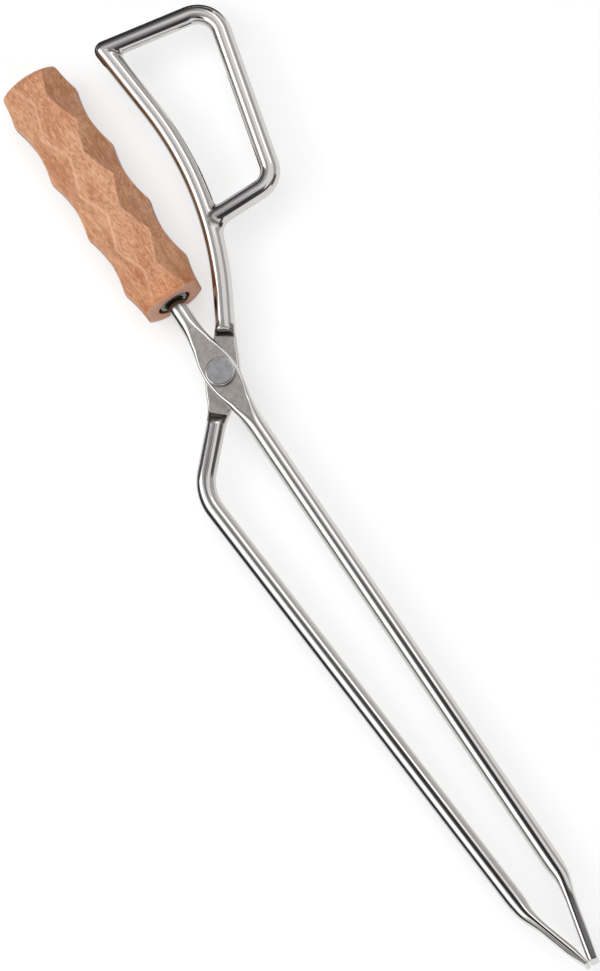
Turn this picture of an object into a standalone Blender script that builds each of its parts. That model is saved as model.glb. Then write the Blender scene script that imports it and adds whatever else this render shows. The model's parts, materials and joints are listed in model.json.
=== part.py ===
# Barbecue tongs: two round steel rods that cross at a rivet, flattened there and at the jaws.
# The front arm ends in a scalloped wooden grip, the rear arm in a stem with a finger loop.
# Metres, +Z up. The tongs lie flat: the grip points to +Y, the jaws to -Y, the rivet stands along Z.
# The origin ends up under the middle of the closed tongs, on the surface that the grip lies on.
# A lean is an angle from -Y, positive towards +X, and a path runs from the handle end to the tip.

from math import ceil, cos, pi, radians, sin, sqrt, tan

import bmesh
import bpy
from mathutils import Matrix, Vector

# Rod and clearances
rod_radius = 0.0040
seat_gap = 0.0003            # between pieces that touch
pivot_gap = 0.0003           # between the two plates, and around the rivet's shank
cut_overrun = 0.0020         # how far a cutter runs past what it cuts

# Front arm
tang_depth = 0.0700          # how far the rod reaches into the grip
grip_lean = radians(1.15)
front_limb_lean = radians(1.65)
front_jaw_lean = radians(-11.6)
front_limb_run = 0.2535      # pivot to jaw bend
front_jaw_run = 0.0375
front_jaw_half_thickness = 0.0022
front_tip_half_thickness = 0.0021

# Rear arm
stem_top_lean = radians(5.6)
stem_low_lean = radians(-27.3)
rear_plate_lean = radians(-34.86)
elbow_rod_lean = radians(-41.85)
rear_limb_lean = radians(4.93)
rear_jaw_lean = radians(17.7)
stem_top_run = 0.0760        # from the centre of the domed end
stem_low_run = 0.0564
rear_plate_upper_run = 0.0200    # bend to pivot
rear_plate_lower_run = 0.0119    # pivot to bend
elbow_rod_run = 0.0378
rear_limb_run = 0.2215
rear_jaw_run = 0.0331
rear_jaw_half_thickness = 0.0020
rear_tip_half_thickness = 0.0010

# Bend radii, at the rod's centre line
tang_bend_radius = 0.0600
plate_bend_radius = 0.0300
stem_bend_radius = 0.1500
elbow_bend_radius = 0.0210
jaw_bend_radius = 0.0240
loop_top_bend_radius = 0.0110
loop_low_bend_radius = 0.0090

# Plates at the pivot: each rod flattened to half its height there, one plate on top of the other
plate_half_width = 0.0071
plate_taper_length = 0.0220      # pivot to where the plate is no wider than the rod
plate_corner_radius = 0.0007
plate_flat_half_length = 0.0157  # pivot to where the underlying face starts to leave the flat
facet_length = 0.0270            # pivot to where the flat facet has run out into the rod
facet_start = 0.0060
shoulder_length = 0.0022         # the step up out of the rear plate

# Jaws
jaw_half_depth = 0.0045          # along the pivot's direction
jaw_corner_radius = 0.0014
jaw_flatten_before = 0.0090      # how far before its bend a jaw starts to flatten
jaw_flatten_after = 0.0110
tip_taper_length = 0.0100
closing_plane_x = -0.0020        # where the closed tips meet, measured from the pivot
closing_face_length = 0.0120

# Rivet and its washer
rivet_shank_radius = 0.0030
rivet_head_radius = 0.0057
rivet_head_thickness = 0.0015
rivet_edge_round = 0.0003
rivet_tail_radius = 0.0046
rivet_tail_height = 0.0016
rivet_washer_radius = 0.0055
rivet_washer_thickness = 0.0010

# Finger loop, from the dome's centre round to the stem again
loop_top_run = 0.0473
loop_outer_run = 0.0782
loop_top_lean = radians(79.6)
loop_outer_lean = radians(-12.35)
loop_low_lean = radians(-90.0)
weld_thickness = 0.0017
weld_edge_thickness = 0.0005
weld_length = 0.0026
weld_overlap = 0.0022            # how far a bead wraps back round the stem

# Wooden grip
grip_start = 0.0361              # pivot to the grip's lower end
scallop_count = 4
scallop_pitch = 0.0280
scallop_radius = 0.0460
grip_valley_half_width = 0.0125
grip_blank_radius = 0.0154
grip_top_round = 0.0055
grip_low_round = 0.0030
recess_radius = 0.00715
recess_depth = 0.0048

# What the recess and the bore hold
recess_washer_radius = 0.0068
recess_washer_thickness = 0.0012
nut_across_flats = 0.0118
nut_thickness = 0.0027
insert_radius = 0.0060
insert_length = 0.0300

# How finely round shapes are divided
corner_points = 4
bend_step = radians(7.0)
ramp_steps = 6
turn_steps = 32
scallop_steps = 6
grip_sides = 8
round_steps = 4
tube_resolution = 6
cutter_sides = 32
tube_steps = 16
bisection_steps = 40
merge_distance = 0.00001
station_gap = 0.0001          # stations closer than this are one
dome_end = radians(80)         # the dome stops just short of its pole


def clear_scene():
    for old in list(bpy.data.objects):
        bpy.data.objects.remove(old, do_unlink=True)


def new_collection(name):
    group = bpy.data.collections.new(name)
    bpy.context.scene.collection.children.link(group)
    return group


def new_object(name, data, group):
    thing = bpy.data.objects.new(name, data)
    group.objects.link(thing)
    return thing


def move_to(thing, group):
    for other in list(thing.users_collection):
        other.objects.unlink(thing)
    group.objects.link(thing)


def finish_material(name, colour, roughness, metallic):
    look = bpy.data.materials.new(name)
    look.use_nodes = True
    shader = look.node_tree.nodes["Principled BSDF"]
    shader.inputs["Base Color"].default_value = (*colour, 1)
    shader.inputs["Roughness"].default_value = roughness
    shader.inputs["Metallic"].default_value = metallic
    return look


def dress(thing, colour, roughness, metallic):
    thing.data.materials.clear()
    thing.data.materials.append(finish_material(thing.name, colour, roughness, metallic))


def shade_round(mesh, crease=radians(35)):
    mesh.shade_smooth()
    mesh.set_sharp_from_angle(angle=crease)


def ease(share):
    share = min(max(share, 0.0), 1.0)
    return share * share * (3 - 2 * share)


def between(first, last, share):
    return first + (last - first) * share


# A rod's centre line: straight runs joined by arcs that are tangent to both


def heading(lean):
    return Vector((sin(lean), -cos(lean)))


def bent_line(start, leans, runs, radii):
    turns = [after - before for before, after in zip(leans, leans[1:])]
    trims = [0.0] + [abs(radius * tan(turn / 2)) for radius, turn in zip(radii, turns)] + [0.0]
    pieces = []
    place, lean = Vector(start), leans[0]
    for index, run in enumerate(runs):
        straight = run - trims[index] - trims[index + 1]
        pieces.append((straight, place.copy(), lean, 0.0))
        place = place + straight * heading(lean)
        if index < len(turns) and turns[index]:
            bend = turns[index] / abs(radii[index] * turns[index])
            pieces.append((abs(radii[index] * turns[index]), place.copy(), lean, bend))
            place, lean = point_on_piece(pieces[-1], pieces[-1][0])
    return pieces


def point_on_piece(piece, distance):
    length, place, lean, bend = piece
    if not bend:
        return place + distance * heading(lean), lean
    turned = lean + bend * distance
    step = Vector((cos(lean) - cos(turned), sin(lean) - sin(turned))) / bend
    return place + step, turned


def line_length(pieces):
    return sum(piece[0] for piece in pieces)


def point_at(pieces, distance):
    for piece in pieces[:-1]:
        if distance <= piece[0]:
            return point_on_piece(piece, distance)
        distance -= piece[0]
    return point_on_piece(pieces[-1], distance)


def bend_stations(pieces):
    stations, passed = [0.0], 0.0
    for length, place, lean, bend in pieces:
        count = max(1, ceil(abs(bend) * length / bend_step))
        stations += [passed + length * step / count for step in range(1, count + 1)]
        passed += length
    return stations


def ramp_stations(*spans):
    return [between(first, last, step / ramp_steps)
            for first, last in spans for step in range(ramp_steps + 1)]


# Cross-sections: a rounded rectangle, which is the round rod where its corners are as large as it is


def section_points(half_width, low, high, low_corner, high_corner):
    half_height = (high - low) / 2
    low_corner = min(low_corner, half_width, half_height)
    high_corner = min(high_corner, half_width, half_height)
    corners = [
        (half_width - high_corner, high - high_corner, high_corner, 0.0),
        (high_corner - half_width, high - high_corner, high_corner, pi / 2),
        (low_corner - half_width, low + low_corner, low_corner, pi),
        (half_width - low_corner, low + low_corner, low_corner, 3 * pi / 2),
    ]
    points = []
    for across, up, radius, first in corners:
        for index in range(corner_points):
            angle = first + (index + 0.5) / corner_points * pi / 2
            points.append((across + radius * cos(angle), up + radius * sin(angle)))
    return points


def round_section(radius):
    return (radius, -radius, radius, radius, radius)


def front_plate_section(offset):
    away = abs(offset)
    width = between(plate_half_width, rod_radius, ease(away / plate_taper_length))
    facet = ease((away - facet_start) / (facet_length - facet_start))
    corner = between(plate_corner_radius, rod_radius, facet)
    under = ease((away - plate_flat_half_length) / (facet_length - plate_flat_half_length))
    low = between(pivot_gap / 2, -rod_radius, under)
    return (width, low, rod_radius, corner, corner)


def rear_plate_section(offset):
    away = abs(offset)
    width = between(plate_half_width, rod_radius, ease(away / plate_taper_length))
    facet = ease((away - facet_start) / (facet_length - facet_start))
    step = ease((away - plate_flat_half_length) / shoulder_length)
    high = between(-pivot_gap / 2, rod_radius, step)
    low_corner = between(plate_corner_radius, rod_radius, facet)
    return (width, -rod_radius, high, low_corner, between(plate_corner_radius, rod_radius, step))


def jaw_section(past_bend, to_tip, jaw_half, tip_half):
    flat = ease((past_bend + jaw_flatten_before) / (jaw_flatten_before + jaw_flatten_after))
    thin = ease(1 - to_tip / tip_taper_length)
    width = between(rod_radius, between(jaw_half, tip_half, thin), flat)
    depth = between(rod_radius, jaw_half_depth, flat)
    corner = between(rod_radius, jaw_corner_radius, flat)
    return (width, -depth, depth, corner, corner)


def loft(name, group, pieces, stations, section):
    shape = bmesh.new()
    rings, previous = [], None
    for distance in sorted(stations):
        if previous is not None and distance - previous < station_gap:
            continue
        previous = distance
        place, lean = point_at(pieces, distance)
        across = Vector((cos(lean), sin(lean)))
        ring = []
        for side, up in section_points(*section(distance)):
            spot = place + side * across
            ring.append(shape.verts.new((spot.x, spot.y, up)))
        rings.append(ring)
    for ring, following in zip(rings, rings[1:]):
        for index in range(len(ring)):
            after = (index + 1) % len(ring)
            shape.faces.new((ring[index], ring[after], following[after], following[index]))
    shape.faces.new(rings[0][::-1])
    shape.faces.new(rings[-1])
    bmesh.ops.recalc_face_normals(shape, faces=shape.faces)
    mesh = bpy.data.meshes.new(name)
    shape.to_mesh(mesh)
    shape.free()
    shade_round(mesh)
    return new_object(name, mesh, group)


# Turned pieces: a profile of (radius, height) down the outside and back up the inside


def turned(name, group, profile, closed, steps=turn_steps):
    mesh = bpy.data.meshes.new(name)
    edges = [(index, index + 1) for index in range(len(profile) - 1)]
    if closed:
        edges.append((len(profile) - 1, 0))
    mesh.from_pydata([(radius, 0, height) for radius, height in profile], edges, [])
    thing = new_object(name, mesh, group)
    spin = thing.modifiers.new("turn", "SCREW")
    spin.steps = steps
    spin.render_steps = steps
    spin.use_merge_vertices = True
    spin.merge_threshold = merge_distance
    spin.use_smooth_shade = True
    return thing


def quarter_round(centre_radius, centre_height, radius, first, last):
    angles = [between(first, last, step / round_steps) for step in range(round_steps + 1)]
    return [(centre_radius + radius * cos(angle), centre_height + radius * sin(angle)) for angle in angles]


def ring_profile(inner, outer, low, high):
    return [(outer, high), (outer, low), (inner, low), (inner, high)]


def as_cutter(thing):
    thing.hide_render = True
    thing.display_type = "WIRE"
    return thing


def boolean(thing, cutter, operation="DIFFERENCE"):
    cut = thing.modifiers.new(cutter.name, "BOOLEAN")
    cut.operation = operation
    cut.object = cutter
    return cut


def cylinder_cutter(name, group, radius, low, high):
    bpy.ops.mesh.primitive_cylinder_add(vertices=cutter_sides, radius=radius, depth=high - low)
    thing = bpy.context.object
    thing.name = name
    thing.location.z = (low + high) / 2
    move_to(thing, group)
    return as_cutter(thing)


def box_cutter(name, group, low, high):
    bpy.ops.mesh.primitive_cube_add(size=1)
    thing = bpy.context.object
    thing.name = name
    size = [last - first for first, last in zip(low, high)]
    middle = [(first + last) / 2 for first, last in zip(low, high)]
    thing.data.transform(Matrix.Translation(middle) @ Matrix.Diagonal((*size, 1)))
    move_to(thing, group)
    return as_cutter(thing)


def curve_to_mesh(curve_object, group):
    bpy.context.view_layer.update()
    source = curve_object.evaluated_get(bpy.context.evaluated_depsgraph_get())
    mesh = bpy.data.meshes.new_from_object(source)
    shape = bmesh.new()
    shape.from_mesh(mesh)
    bmesh.ops.remove_doubles(shape, verts=shape.verts, dist=merge_distance)
    bmesh.ops.recalc_face_normals(shape, faces=shape.faces)
    shape.to_mesh(mesh)
    shape.free()
    name = curve_object.name
    place = curve_object.matrix_world.copy()
    bpy.data.objects.remove(curve_object, do_unlink=True)
    thing = new_object(name, mesh, group)
    thing.matrix_world = place
    return thing


# The two rods


def front_line():
    leans = [grip_lean, front_limb_lean, front_jaw_lean]
    runs = [grip_start + tang_depth, front_limb_run, front_jaw_run]
    start = -runs[0] * heading(grip_lean)
    return bent_line(start, leans, runs, [tang_bend_radius, jaw_bend_radius])


def rear_line():
    leans = [stem_top_lean, stem_low_lean, rear_plate_lean, elbow_rod_lean, rear_limb_lean, rear_jaw_lean]
    plate_run = rear_plate_upper_run + rear_plate_lower_run
    runs = [stem_top_run, stem_low_run, plate_run, elbow_rod_run, rear_limb_run, rear_jaw_run]
    radii = [stem_bend_radius, plate_bend_radius, plate_bend_radius, elbow_bend_radius, jaw_bend_radius]
    start = Vector((0.0, 0.0))
    for run, lean in zip([stem_top_run, stem_low_run, rear_plate_upper_run], leans):
        start -= run * heading(lean)
    return bent_line(start, leans, runs, radii)


def distance_to_pivot(pieces):
    passed, nearest = 0.0, None
    for piece in pieces:
        length, place, lean, bend = piece
        along = min(max(-place.dot(heading(lean)), 0.0), length)
        miss = point_on_piece(piece, along)[0].length
        if nearest is None or miss < nearest[0]:
            nearest = (miss, passed + along)
        passed += length
    return nearest[1]


def jaw_bend_distance(pieces):
    return line_length(pieces[:-2]) + pieces[-2][0] / 2


def arm_stations(pieces, pivot, steps_at_plate):
    bend = jaw_bend_distance(pieces)
    tip = line_length(pieces)
    spans = [(bend - jaw_flatten_before, bend + jaw_flatten_after), (tip - tip_taper_length, tip)]
    for side in (-1, 1):
        for first, last in steps_at_plate:
            spans.append((pivot + side * first, pivot + side * last))
    return bend_stations(pieces) + ramp_stations(*spans)


def make_front_arm(group, cutters):
    pieces = front_line()
    pivot = distance_to_pivot(pieces)
    bend, tip = jaw_bend_distance(pieces), line_length(pieces)

    def section(distance):
        if distance > pivot + facet_length:
            return jaw_section(distance - bend, tip - distance,
                               front_jaw_half_thickness, front_tip_half_thickness)
        return front_plate_section(distance - pivot)

    spans = [(0.0, plate_flat_half_length), (plate_flat_half_length, facet_length)]
    arm = loft("front_arm", group, pieces, arm_stations(pieces, pivot, spans), section)
    boolean(arm, cylinder_cutter("front_rivet_hole", cutters, rivet_shank_radius + pivot_gap, -rod_radius,
                                 rod_radius + cut_overrun))
    tip_place = point_at(pieces, tip)[0]
    low = (closing_plane_x - plate_half_width, tip_place.y - cut_overrun, -jaw_half_depth - cut_overrun)
    high = (closing_plane_x + seat_gap / 2, tip_place.y + closing_face_length, jaw_half_depth + cut_overrun)
    boolean(arm, box_cutter("front_closing_face", cutters, low, high))
    dress(arm, (0.70, 0.68, 0.66), 0.2, 1.0)
    return arm


def domed(pieces):
    # Led back by one rod radius, so that the path starts at the dome's pole
    length, place, lean, bend = pieces[0]
    return [(length + rod_radius, place - rod_radius * heading(lean), lean, bend)] + pieces[1:]


def dome_stations(radius):
    return [rod_radius - radius * sin(dome_end * step / ramp_steps) for step in range(ramp_steps + 1)]


def dome_section(distance, radius):
    before_centre = max(rod_radius - distance, 0.0)
    return round_section(sqrt(radius ** 2 - before_centre ** 2))


def make_rear_arm(group, cutters):
    pieces = domed(rear_line())
    pivot = distance_to_pivot(pieces)
    bend, tip = jaw_bend_distance(pieces), line_length(pieces)

    def section(distance):
        if distance < rod_radius:
            return dome_section(distance, rod_radius)
        if distance > pivot + facet_length:
            return jaw_section(distance - bend, tip - distance,
                               rear_jaw_half_thickness, rear_tip_half_thickness)
        return rear_plate_section(distance - pivot)

    shoulder_end = plate_flat_half_length + shoulder_length
    spans = [(0.0, plate_flat_half_length), (plate_flat_half_length, shoulder_end),
             (shoulder_end, facet_length)]
    stations = [station for station in arm_stations(pieces, pivot, spans) if station > rod_radius]
    stations += dome_stations(rod_radius)
    arm = loft("rear_arm", group, pieces, stations, section)
    boolean(arm, cylinder_cutter("rear_rivet_hole", cutters, rivet_shank_radius + pivot_gap,
                                 -rod_radius - cut_overrun, rod_radius))
    tip_place = point_at(pieces, tip)[0]
    low = (closing_plane_x - seat_gap / 2, tip_place.y - cut_overrun, -jaw_half_depth - cut_overrun)
    high = (closing_plane_x + plate_half_width, tip_place.y + closing_face_length,
            jaw_half_depth + cut_overrun)
    boolean(arm, box_cutter("rear_closing_face", cutters, low, high))
    dress(arm, (0.70, 0.68, 0.66), 0.2, 1.0)
    return arm


def make_stem_clearance(cutters):
    # The stem with its dome, one seat gap larger: it copes the loop and the welds
    pieces = domed(rear_line())
    outer = rod_radius + seat_gap
    reach = distance_to_pivot(pieces) - facet_length
    stations = [station for station in bend_stations(pieces) if rod_radius < station < reach]
    stations += dome_stations(outer) + [reach]
    clearance = loft("stem_clearance", cutters, pieces, stations,
                     lambda distance: dome_section(distance, outer))
    return as_cutter(clearance)


def stem_place_beside(y):
    # Halves the stretch of stem until its middle is level with y
    pieces = rear_line()
    near, far = 0.0, distance_to_pivot(pieces)
    for _ in range(bisection_steps):
        middle = (near + far) / 2
        if point_at(pieces, middle)[0].y > y:
            near = middle
        else:
            far = middle
    return point_at(pieces, near)[0]


def loop_line():
    corner_a = rear_line()[0][1]
    corner_b = corner_a + loop_top_run * heading(loop_top_lean)
    corner_c = corner_b + loop_outer_run * heading(loop_outer_lean)
    landing = stem_place_beside(corner_c.y)
    runs = [loop_top_run, loop_outer_run, corner_c.x - landing.x]
    leans = [loop_top_lean, loop_outer_lean, loop_low_lean]
    return bent_line(corner_a, leans, runs, [loop_top_bend_radius, loop_low_bend_radius]), landing


def make_finger_loop(group, stem_clearance):
    pieces, landing = loop_line()
    curve = bpy.data.curves.new("finger_loop", "CURVE")
    curve.dimensions = "3D"
    curve.bevel_depth = rod_radius
    curve.bevel_resolution = tube_resolution
    curve.use_fill_caps = True
    stations = bend_stations(pieces)
    spline = curve.splines.new("POLY")
    spline.points.add(len(stations) - 1)
    for point, station in zip(spline.points, stations):
        place = point_at(pieces, station)[0]
        point.co = (place.x, place.y, 0, 1)
    loop = curve_to_mesh(new_object("finger_loop", curve, group), group)
    boolean(loop, stem_clearance)
    shade_round(loop.data)
    dress(loop, (0.70, 0.68, 0.66), 0.2, 1.0)
    return loop


def bead_frame(place, lean):
    # Local Z runs along the rod that is welded on, local X lies in the tongs' plane
    along = heading(lean).to_3d()
    across = Vector((along.y, -along.x, 0.0))
    frame = Matrix((across, along.cross(across), along)).transposed().to_4x4()
    return Matrix.Translation(place.to_3d()) @ frame


def make_weld_bead(name, group, stem_clearance, place, lean, reach):
    inner = rod_radius + seat_gap
    near = rod_radius - weld_overlap
    far = reach + weld_length
    profile = [(inner + weld_edge_thickness, far), (inner + weld_thickness, near),
               (inner, near), (inner, far)]
    bead = turned(name, group, profile, True, tube_steps)
    bead.matrix_world = bead_frame(place, lean)
    boolean(bead, stem_clearance)
    dress(bead, (0.62, 0.60, 0.58), 0.35, 1.0)
    return bead


def make_welds(group, cutters, stem_clearance):
    pieces, landing = loop_line()
    low_bead = make_weld_bead("lower_weld_bead", group, stem_clearance, landing,
                              loop_low_lean + pi, rod_radius)
    corner = loop_top_lean - stem_top_lean
    reach = rod_radius * (1 + cos(corner)) / sin(corner)
    top_place = pieces[0][1]
    top_bead = make_weld_bead("upper_weld_bead", group, stem_clearance, top_place, loop_top_lean, reach)
    size = reach + weld_length + cut_overrun
    half = box_cutter("upper_weld_outside", cutters, (-size, -size, -size), (0.0, size, size))
    half.matrix_world = bead_frame(top_place, loop_top_lean)
    boolean(top_bead, half)
    return [low_bead, top_bead]


# The grip: scalloped by a milling drum on eight sides, with ends and bores as a turned blank gives them


def scallop_half_width(along, shift):
    nearest = (along / scallop_pitch - shift) % 1
    off = min(nearest, 1 - nearest) * scallop_pitch
    return grip_valley_half_width + scallop_radius - sqrt(scallop_radius ** 2 - off ** 2)


def octagon(even_half_width, odd_half_width):
    # Corners of eight sides, turn about at two distances from the middle
    corners = []
    for index in range(grip_sides):
        here, there = even_half_width, odd_half_width
        if index % 2:
            here, there = there, here
        angle, step = index * 2 * pi / grip_sides, 2 * pi / grip_sides
        slide = (there - here * cos(step)) / sin(step)
        corners.append((here * cos(angle) - slide * sin(angle), here * sin(angle) + slide * cos(angle)))
    return corners


def make_scalloped_body(group):
    # Concave scallops in eight columns, each column half a pitch off its neighbours
    shape = bmesh.new()
    rings = []
    for step in range(-1, scallop_count * scallop_steps + 2):
        height = step * scallop_pitch / scallop_steps
        corners = octagon(scallop_half_width(height, 0.0), scallop_half_width(height, 0.5))
        rings.append([shape.verts.new((across, up, height)) for across, up in corners])
    for ring, following in zip(rings, rings[1:]):
        for index in range(grip_sides):
            after = (index + 1) % grip_sides
            shape.faces.new((ring[index], ring[after], following[after], following[index]))
    shape.faces.new(rings[0][::-1])
    shape.faces.new(rings[-1])
    bmesh.ops.recalc_face_normals(shape, faces=shape.faces)
    mesh = bpy.data.meshes.new("wooden_grip")
    shape.to_mesh(mesh)
    shape.free()
    return new_object("wooden_grip", mesh, group)


def grip_length():
    return scallop_count * scallop_pitch


def insert_bottom():
    return recess_depth + insert_length + seat_gap


def grip_blank_profile():
    length = grip_length()
    flat_radius = grip_blank_radius - grip_top_round
    profile = [(0.0, length)]
    profile += quarter_round(flat_radius, length - grip_top_round, grip_top_round, pi / 2, 0.0)
    low_flat = grip_blank_radius - grip_low_round
    profile += quarter_round(low_flat, grip_low_round, grip_low_round, 0.0, -pi / 2)
    pocket = insert_radius + seat_gap
    bore = rod_radius + seat_gap
    bore_end = tang_depth + seat_gap
    profile += [(recess_radius, 0.0), (recess_radius, recess_depth), (pocket, recess_depth)]
    profile += [(pocket, insert_bottom()), (bore, insert_bottom()), (bore, bore_end), (0.0, bore_end)]
    return profile


def make_grip(group, cutters, handle):
    grip = make_scalloped_body(group)
    blank = as_cutter(turned("grip_blank", cutters, grip_blank_profile(), False))
    blank.parent = handle
    boolean(grip, blank, "INTERSECT")
    dress(grip, (0.72, 0.48, 0.32), 0.6, 0.0)
    return grip


def make_grip_fittings(group, cutters, handle):
    hole = rod_radius + seat_gap
    insert_low = recess_depth
    insert = turned("grip_insert", group,
                    ring_profile(hole, insert_radius, insert_low, insert_low + insert_length), True)
    dress(insert, (0.78, 0.60, 0.30), 0.35, 1.0)
    washer_high = recess_depth - seat_gap
    washer_low = washer_high - recess_washer_thickness
    washer = turned("recess_washer", group,
                    ring_profile(hole, recess_washer_radius, washer_low, washer_high), True)
    dress(washer, (0.60, 0.60, 0.58), 0.3, 1.0)
    nut_high = washer_low - seat_gap
    corner_radius = nut_across_flats / 2 / cos(pi / 6)
    bpy.ops.mesh.primitive_cylinder_add(vertices=6, radius=corner_radius, depth=nut_thickness)
    nut = bpy.context.object
    nut.name = "lock_nut"
    nut.data.transform(Matrix.Translation((0, 0, nut_high - nut_thickness / 2)))
    move_to(nut, group)
    bore = cylinder_cutter("nut_bore", cutters, hole, nut_high - nut_thickness - cut_overrun,
                           nut_high + cut_overrun)
    bore.parent = handle
    boolean(nut, bore)
    dress(nut, (0.55, 0.56, 0.55), 0.3, 1.0)
    return [insert, washer, nut]


# The pivot


def make_rivet(group):
    head_low = rod_radius + seat_gap
    head_high = head_low + rivet_head_thickness
    washer_high = -rod_radius - seat_gap
    washer_low = washer_high - rivet_washer_thickness
    tail_high = washer_low - seat_gap
    tail_low = tail_high - rivet_tail_height
    profile = [(0.0, head_high)]
    profile += quarter_round(rivet_head_radius - rivet_edge_round, head_high - rivet_edge_round,
                             rivet_edge_round, pi / 2, 0.0)
    profile += [(rivet_head_radius, head_low), (rivet_shank_radius, head_low),
                (rivet_shank_radius, tail_high)]
    profile += [(rivet_tail_radius, tail_high), (rivet_tail_radius, tail_high - rivet_tail_height / 2)]
    flat = rivet_tail_radius - rivet_tail_height / 2
    profile += [(flat, tail_low), (0.0, tail_low)]
    rivet = turned("pivot_rivet", group, profile, False)
    dress(rivet, (0.55, 0.57, 0.60), 0.4, 1.0)
    hole = rivet_shank_radius + pivot_gap
    washer = turned("rivet_washer", group,
                    ring_profile(hole, rivet_washer_radius, washer_low, washer_high), True)
    dress(washer, (0.60, 0.60, 0.60), 0.35, 1.0)
    return [rivet, washer]


def evaluated_corners(thing):
    source = thing.evaluated_get(bpy.context.evaluated_depsgraph_get())
    mesh = source.to_mesh()
    corners = [source.matrix_world @ vertex.co for vertex in mesh.vertices]
    source.to_mesh_clear()
    return corners


def bounds(things):
    corners = [corner for thing in things for corner in evaluated_corners(thing)]
    low = Vector([min(corner[axis] for corner in corners) for axis in range(3)])
    high = Vector([max(corner[axis] for corner in corners) for axis in range(3)])
    return low, high


def build():
    clear_scene()
    parts = new_collection("barbecue_tongs")
    cutters = new_collection("cutters")
    tongs = new_object("tongs", None, parts)
    front_body = new_object("front_body", None, parts)
    rear_body = new_object("rear_body", None, parts)
    handle = new_object("handle_axis", None, parts)
    for child, parent in ((front_body, tongs), (rear_body, tongs), (handle, front_body)):
        child.parent = parent
    # The handle's own Z runs up the grip from its lower end
    handle.location = (-grip_start * heading(grip_lean)).to_3d()
    handle.rotation_euler = (-pi / 2, 0.0, grip_lean)

    front_arm = make_front_arm(parts, cutters)
    rear_arm = make_rear_arm(parts, cutters)
    stem_clearance = make_stem_clearance(cutters)
    finger_loop = make_finger_loop(parts, stem_clearance)
    welds = make_welds(parts, cutters, stem_clearance)
    grip = make_grip(parts, cutters, handle)
    fittings = make_grip_fittings(parts, cutters, handle)
    rivet_parts = make_rivet(parts)

    for piece in [grip, *fittings]:
        piece.parent = handle
    for piece in [front_arm, *rivet_parts]:
        piece.parent = front_body
    for piece in [rear_arm, finger_loop, *welds]:
        piece.parent = rear_body
    body_of_cutter = {"front_rivet_hole": front_body, "front_closing_face": front_body}
    for cutter in cutters.objects:
        if cutter.parent is None:
            cutter.parent = body_of_cutter.get(cutter.name, rear_body)

    # The closed tongs are centred over the origin and lowered onto the grip
    bpy.context.view_layer.update()
    pieces = [thing for thing in parts.objects if thing.type == "MESH"]
    low, high = bounds(pieces)
    tongs.location = (-(low.x + high.x) / 2, -(low.y + high.y) / 2, -low.z)
    bpy.context.view_layer.update()
    print("pivot", [round(value, 6) for value in tongs.location])
    print("size", [round(value, 6) for value in high - low])


build()
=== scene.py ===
# Barbecue tongs, dressed: polished steel rods with satin plates, a scalloped beech grip, rivet, nut and washers.
# Metres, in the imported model's own frame. The tongs lie flat, jaws to -Y, grip to +Y, the rivet stands along Z.
# A lean is an angle from -Y, positive towards +X, and every line runs from the handle end to the tip.

import json

import bpy
import numpy as np
from mathutils import Matrix, Vector


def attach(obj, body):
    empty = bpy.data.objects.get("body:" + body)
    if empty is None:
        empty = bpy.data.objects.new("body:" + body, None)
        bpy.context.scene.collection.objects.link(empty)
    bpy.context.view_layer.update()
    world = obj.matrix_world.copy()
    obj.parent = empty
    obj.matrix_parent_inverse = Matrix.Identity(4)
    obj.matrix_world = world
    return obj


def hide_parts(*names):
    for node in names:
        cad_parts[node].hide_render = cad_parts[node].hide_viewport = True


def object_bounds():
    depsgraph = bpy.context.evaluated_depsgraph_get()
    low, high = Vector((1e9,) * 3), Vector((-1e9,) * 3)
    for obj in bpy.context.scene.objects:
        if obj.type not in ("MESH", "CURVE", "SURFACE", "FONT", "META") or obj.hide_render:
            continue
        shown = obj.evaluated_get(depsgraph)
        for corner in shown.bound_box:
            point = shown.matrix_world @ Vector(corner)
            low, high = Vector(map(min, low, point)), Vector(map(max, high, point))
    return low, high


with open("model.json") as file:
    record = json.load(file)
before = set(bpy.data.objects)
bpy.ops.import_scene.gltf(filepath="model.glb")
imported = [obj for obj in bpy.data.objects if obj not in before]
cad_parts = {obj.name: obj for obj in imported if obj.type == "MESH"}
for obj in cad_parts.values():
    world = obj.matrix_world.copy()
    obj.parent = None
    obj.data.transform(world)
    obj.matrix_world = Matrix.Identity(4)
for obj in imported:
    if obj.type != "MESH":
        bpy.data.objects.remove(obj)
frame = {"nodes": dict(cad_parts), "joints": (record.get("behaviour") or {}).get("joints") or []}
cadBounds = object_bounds()
pivot = np.array(frame["joints"][0]["pos_m"])    # the rivet's axis, halfway up the rods
print("frame loaded,", len(frame["nodes"]), "nodes")

rod = {"radius": 0.0040, "plateGap": 0.0003, "ring": 49, "faceEdge": 0.0003, "inBox": 0.00001}


# Small maths

def ease(share):
    # 3t squared less 2t cubed, held between 0 and 1
    share = np.clip(share, 0.0, 1.0)
    return share * share * (3 - 2 * share)


def between(first, last, share):
    return first + (last - first) * share


def smoothMin(a, b, width):
    # The smaller of two, less a quarter of the squared overlap over width, so their crease is rounded
    return np.minimum(a, b) - np.clip(width - np.abs(a - b), 0, None) ** 2 / (4 * width)


def drawnIn(radius, gone):
    # A rounded edge draws in by R - sqrt(R^2 - (R - gone)^2) where gone is the distance to the edge, up to R
    near = np.clip(radius - gone, 0, radius)
    return radius - np.sqrt(radius ** 2 - near ** 2)


def cornerCurve(first, corner, last, t):
    # (1-t)^2 first + 2t(1-t) corner + t^2 last
    return (1 - t) ** 2 * first + 2 * t * (1 - t) * corner + t ** 2 * last


def heading(lean):
    return np.stack([np.sin(lean), -np.cos(lean)], -1)


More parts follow.
